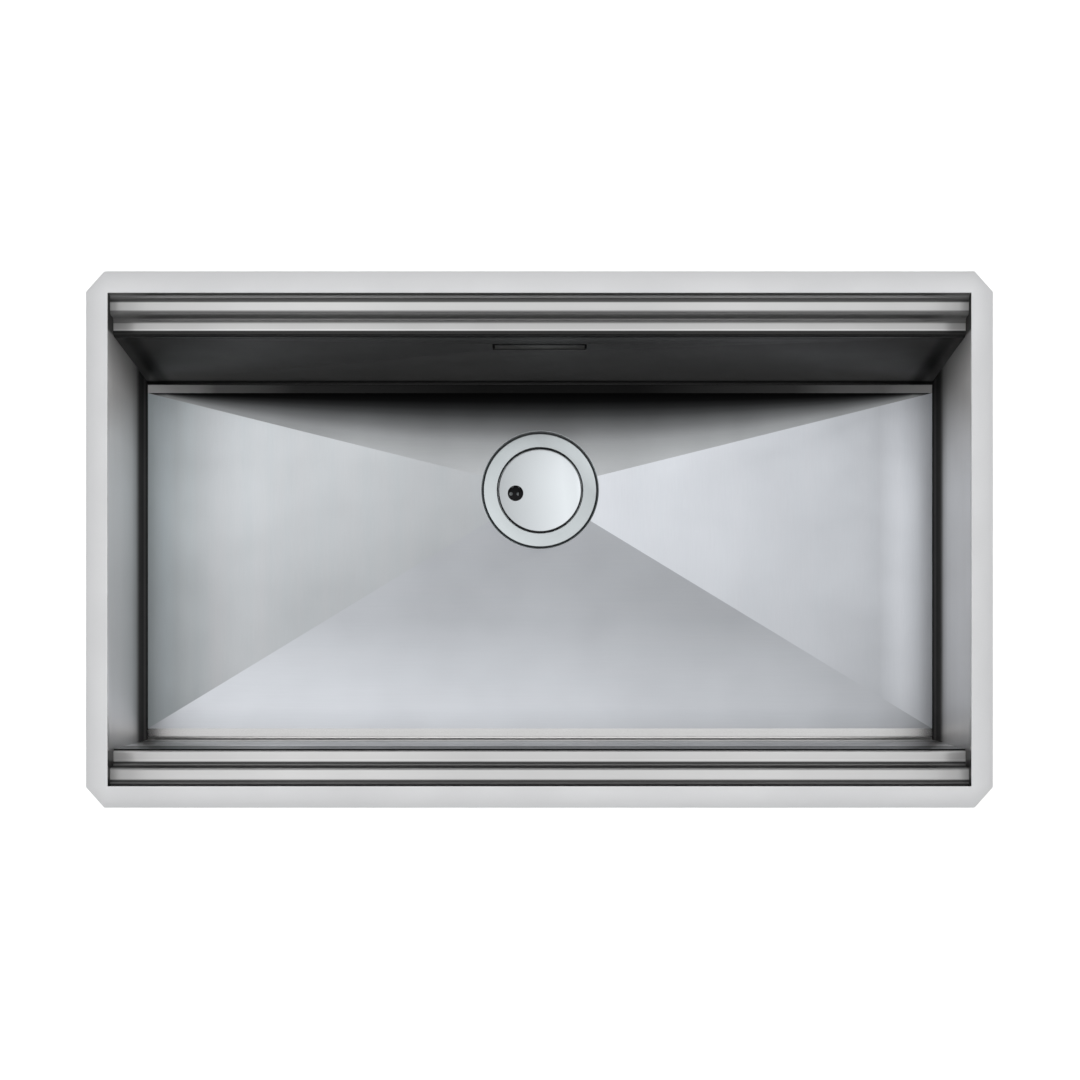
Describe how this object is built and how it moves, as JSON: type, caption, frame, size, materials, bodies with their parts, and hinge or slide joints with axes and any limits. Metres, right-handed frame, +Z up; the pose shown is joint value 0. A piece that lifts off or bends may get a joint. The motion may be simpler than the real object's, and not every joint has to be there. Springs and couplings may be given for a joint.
{
  "type": "undermount kitchen sink",
  "caption": "Undermount steel kitchen sink with stepped accessory ledges front and back, a creased floor, a covered strainer waste and a rear overflow with its hose.",
  "frame": {"origin": "middle of the bowl's opening, in the plane of the flange's top face that meets the underside of the worktop", "axes": "+X along the sink to the user's right, +Y towards the back wall, +Z up"},
  "size_m": [0.84, 0.497, 0.338],
  "materials": {
    "bowl_steel": "brushed along its length",
    "flange_steel": "fine satin",
    "polished_steel": "polished",
    "plain_steel": "plain stainless",
    "pad_rubber": "matt",
    "seal_rubber": "matt",
    "black_plastic": "moulded",
    "grey_plastic": "moulded, ribbed"
  },
  "bodies": {
    "sink": {"mounting_flange": "flange_steel", "rear_ledge_rail": "bowl_steel", "front_ledge_rail": "bowl_steel", "rear_wall": "bowl_steel", "front_wall": "bowl_steel", "left_wall": "bowl_steel", "right_wall": "bowl_steel", "floor_pan": "bowl_steel", "sound_pad_rear": "pad_rubber", "sound_pad_front": "pad_rubber", "sound_pad_left": "pad_rubber", "sound_pad_right": "pad_rubber", "sound_pad_floor_left": "pad_rubber", "sound_pad_floor_right": "pad_rubber", "overflow_cover": "bowl_steel", "overflow_gasket": "seal_rubber", "overflow_housing": "black_plastic", "overflow_studs": "plain_steel", "overflow_nuts": "plain_steel", "overflow_hose": "grey_plastic", "hose_nut_top": "black_plastic", "hose_nut_bottom": "black_plastic", "drain_flange": "flange_steel", "flange_seal": "seal_rubber", "body_seal": "seal_rubber", "waste_chamber": "black_plastic", "waste_funnel": "black_plastic", "centre_screw": "plain_steel"},
    "basket": {"strainer_basket": "plain_steel", "basket_plug": "seal_rubber", "basket_stem": "plain_steel"},
    "cover": {"drain_cover": "polished_steel", "cover_feet": "seal_rubber"}
  },
  "joints": [
    {"name": "basket_lift", "type": "slide", "parent": "sink", "child": "basket", "axis": [0, 0, 1], "range_m": [0, 0.275]},
    {"name": "cover_lift", "type": "slide", "parent": "basket", "child": "cover", "axis": [0, 0, 1], "range_m": [0, 0.25]}
  ]
}
